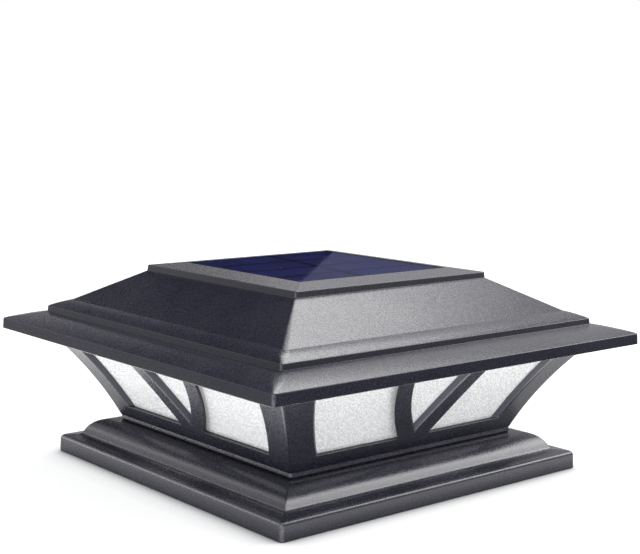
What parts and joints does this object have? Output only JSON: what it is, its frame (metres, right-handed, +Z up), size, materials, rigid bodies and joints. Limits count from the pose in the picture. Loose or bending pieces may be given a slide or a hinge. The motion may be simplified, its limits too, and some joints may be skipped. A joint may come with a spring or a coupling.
{
  "type": "deck post cap light",
  "caption": "Square solar post cap light: two-tier roof with a panel, flared lantern with frosted windows, moulded base that drops over a post.",
  "frame": {"origin": "middle of the underside of the post base, on the plane of the skirt's bottom rim", "axes": "+Z up through the post's axis; X and Y square to the four sides; the battery lies along X and the control board is on the +Y side of it"},
  "size_m": [0.1884, 0.1884, 0.0824],
  "materials": {
    "black_plastic": "black moulded plastic with a fine sandblasted grain",
    "frosted_plastic": "frosted white acrylic with a fine pebbled face",
    "black_rubber": "black foam rubber",
    "panel_board": "black laminate",
    "solar_cell": "dark blue silicon with fine grid lines",
    "panel_glazing": "clear resin face, glossy",
    "zinc_steel": "zinc plated steel",
    "white_plastic": "white moulded plastic",
    "white_board": "white solder mask",
    "green_board": "green solder mask",
    "led_resin": "yellow phosphor resin",
    "chip_plastic": "black epoxy",
    "switch_steel": "tinned steel",
    "knob_plastic": "pale grey plastic",
    "battery_wrap": "plain green shrink wrap",
    "nickel": "nickel plated spring steel",
    "red_insulation": "red lead insulation",
    "black_insulation": "black lead insulation",
    "white_insulation": "white lead insulation"
  },
  "bodies": {
    "base": {"post_base": "black_plastic"},
    "head": {"lantern_frame": "black_plastic", "lens_liner": "frosted_plastic", "roof_cover": "black_plastic", "panel_gasket": "black_rubber", "panel_backing": "panel_board", "solar_cells": "solar_cell", "panel_glazing": "panel_glazing", "roof_gasket": "black_rubber", "roof_screws": "zinc_steel", "lamp_floor": "black_plastic", "reflector": "white_plastic", "reflector_screws": "zinc_steel", "led_board": "white_board", "led_screws": "zinc_steel", "leds": "led_resin", "control_board": "green_board", "board_parts": "chip_plastic", "board_screws": "zinc_steel", "switch_body": "switch_steel", "battery": "battery_wrap", "plate_contact": "nickel", "spring_contact": "nickel", "panel_lead_red": "red_insulation", "panel_lead_black": "black_insulation", "battery_lead_red": "red_insulation", "battery_lead_black": "black_insulation", "led_leads": "white_insulation"},
    "door": {"battery_door": "black_plastic", "door_gasket": "black_rubber", "door_screws": "zinc_steel"},
    "knob": {"switch_knob": "knob_plastic"}
  },
  "joints": [
    {"name": "head_lift", "type": "slide", "parent": "base", "child": "head", "axis": [0, 0, 1], "range_m": [0, 0.04]},
    {"name": "battery_door", "type": "slide", "parent": "head", "child": "door", "axis": [0, 0, -1], "range_m": [0, 0.02]},
    {"name": "mode_switch", "type": "slide", "parent": "head", "child": "knob", "axis": [1, 0, 0], "range_m": [0, 0.004]}
  ]
}
